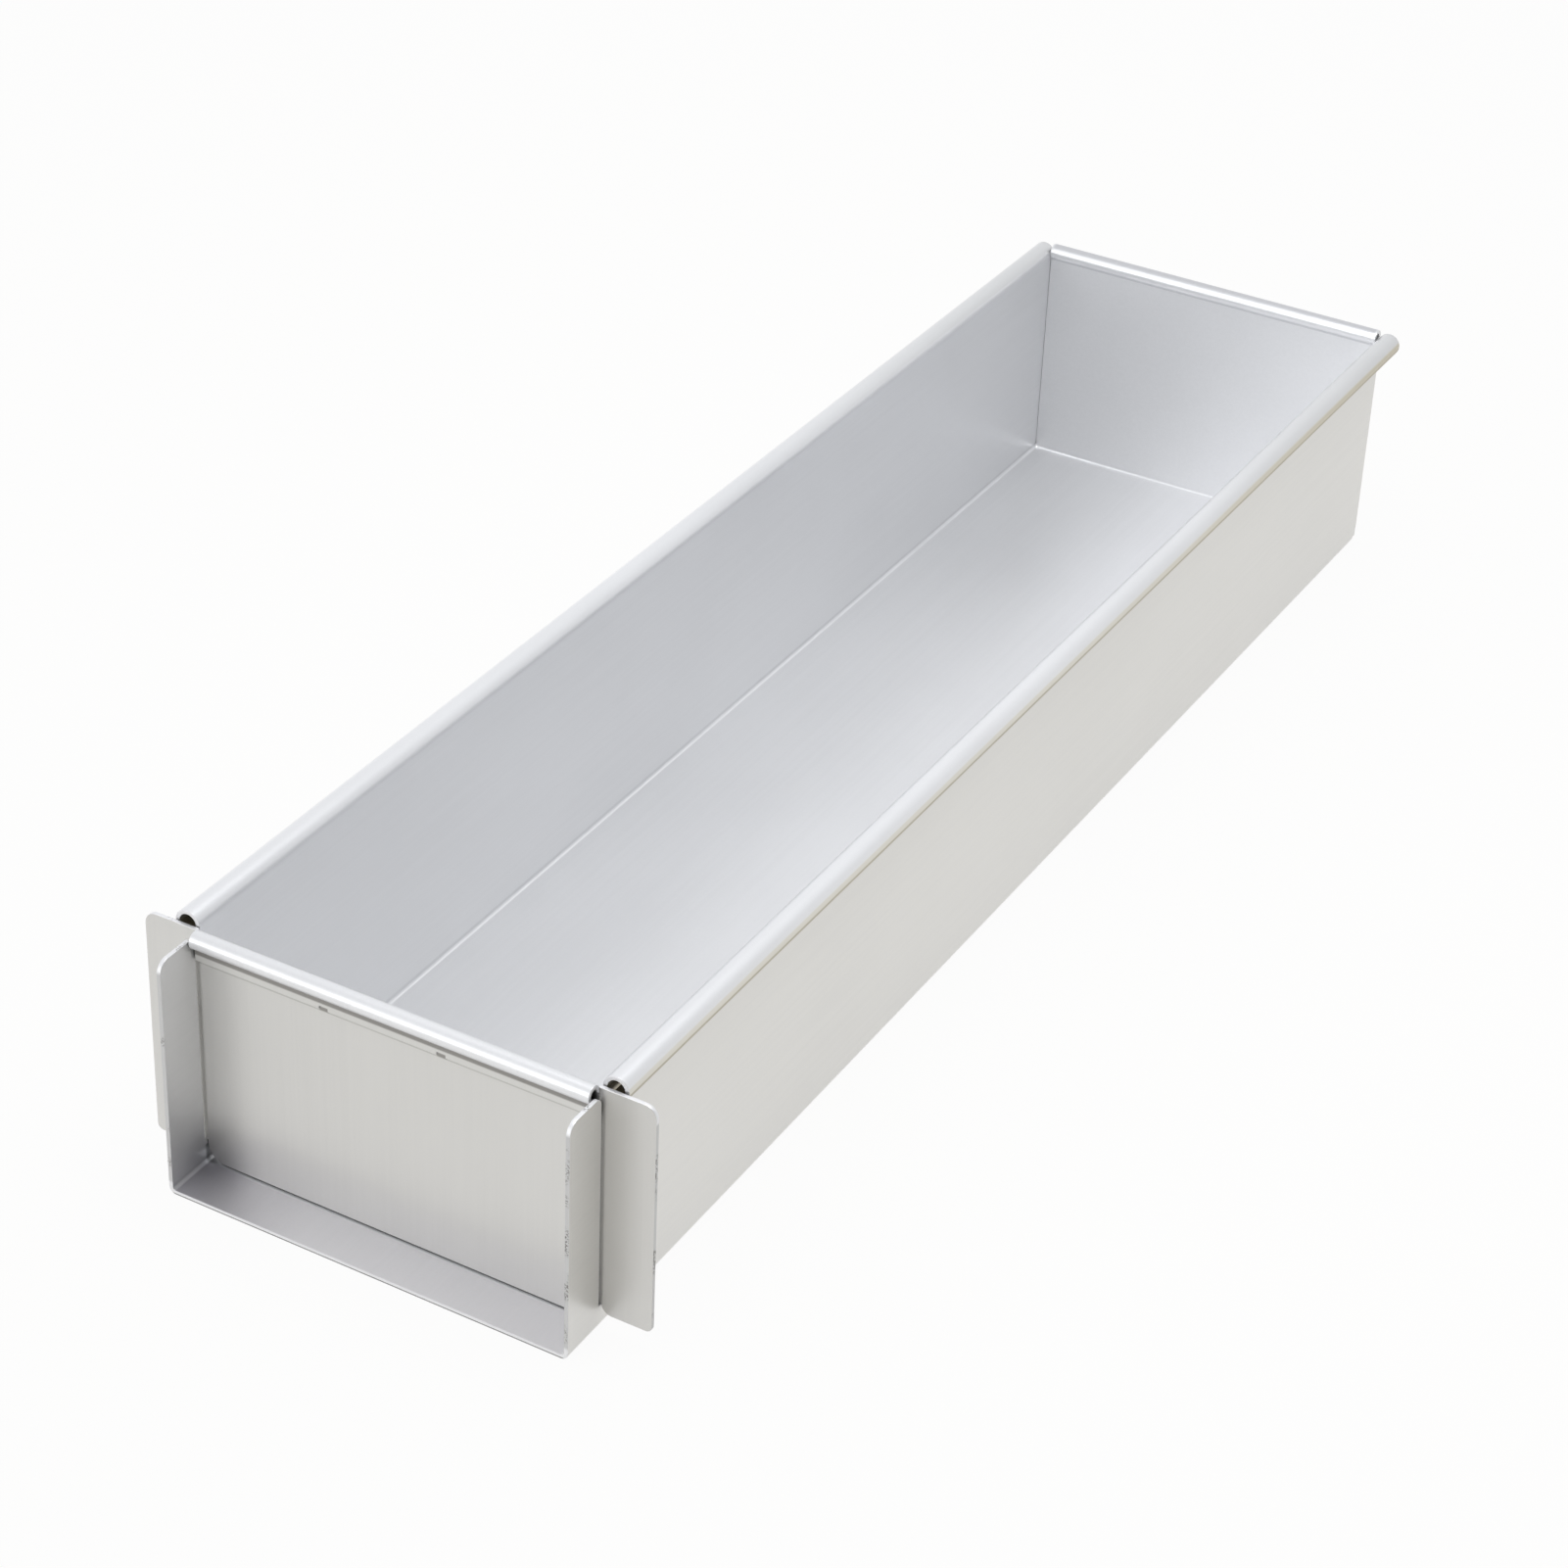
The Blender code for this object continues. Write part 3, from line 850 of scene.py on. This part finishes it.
def light_world():
    """A pale light tent all round, with lit panels at its front left and an opening at its front right."""
    world = bpy.data.worlds.new("light_tent")
    bpy.context.scene.world = world
    finish = Finish(world)
    way = finish.add("ShaderNodeTexCoord", output="Generated")
    room = finish.add("ShaderNodeBackground", {"Color": opaque(*TENT_COLOUR), "Strength": TENT_LIGHT})
    for side, spread, light in TENT_PARTS:
        facing = finish.add(
            "ShaderNodeVectorMath", {0: way, 1: Vector(side).normalized()}, output="Value",
            operation="DOT_PRODUCT")
        part = finish.add("ShaderNodeBackground", {"Color": opaque(*TENT_COLOUR), "Strength": light})
        room = finish.add("ShaderNodeMixShader", {0: finish.ramp(facing, *spread), 1: room, 2: part})
    finish.add("ShaderNodeOutputWorld", {"Surface": room})


def hang_soft_box():
    """The square soft light above the pan, turned towards its far end."""
    light = bpy.data.lights.new("soft_box", "AREA")
    light.shape = "SQUARE"
    light.size = SOFT_BOX_SIDE
    light.energy = SOFT_BOX_POWER
    light.color = TENT_COLOUR
    lamp = bpy.data.objects.new("soft_box", light)
    bpy.context.scene.collection.objects.link(lamp)
    lamp.location = SOFT_BOX_PLACE
    lamp.rotation_euler = (SOFT_BOX_AIM - SOFT_BOX_PLACE).to_track_quat("-Z", "Y").to_euler()


def set_camera():
    """The camera of the photograph."""
    camera = bpy.data.cameras.new("camera")
    camera.lens = LENS_MM
    camera.shift_x, camera.shift_y = CAMERA_SHIFT
    holder = bpy.data.objects.new("camera", camera)
    bpy.context.scene.collection.objects.link(holder)
    turn = (CAMERA_AIM - CAMERA_PLACE).to_track_quat("-Z", "Y").to_matrix().to_4x4()
    holder.matrix_world = Matrix.Translation(CAMERA_PLACE) @ turn @ Matrix.Rotation(CAMERA_ROLL, 4, "Z")
    bpy.context.scene.camera = holder


def main():
    bpy.context.scene.view_settings.view_transform = "Standard"
    set_camera()
    light_world()
    hang_soft_box()
    lay_floor()
    edge_finish = sheared_edge("sheared_edge")
    pan_finish = satin_anodised(
        "pan_satin", (LINE_SCALE_ACROSS, LINE_SCALE_ALONG, LINE_SCALE_ACROSS), PAN_TINTS)
    gate_finish = satin_anodised(
        "gate_satin", (LINE_SCALE_ACROSS, LINE_SCALE_ACROSS, LINE_SCALE_ALONG), GATE_TINTS)
    trough = make_trough(pan_finish, edge_finish)
    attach(trough, "trough")
    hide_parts("pan_body")
    gate = make_gate(gate_finish, edge_finish)
    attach(gate, "gate")
    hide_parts("lift_out_gate")


main()
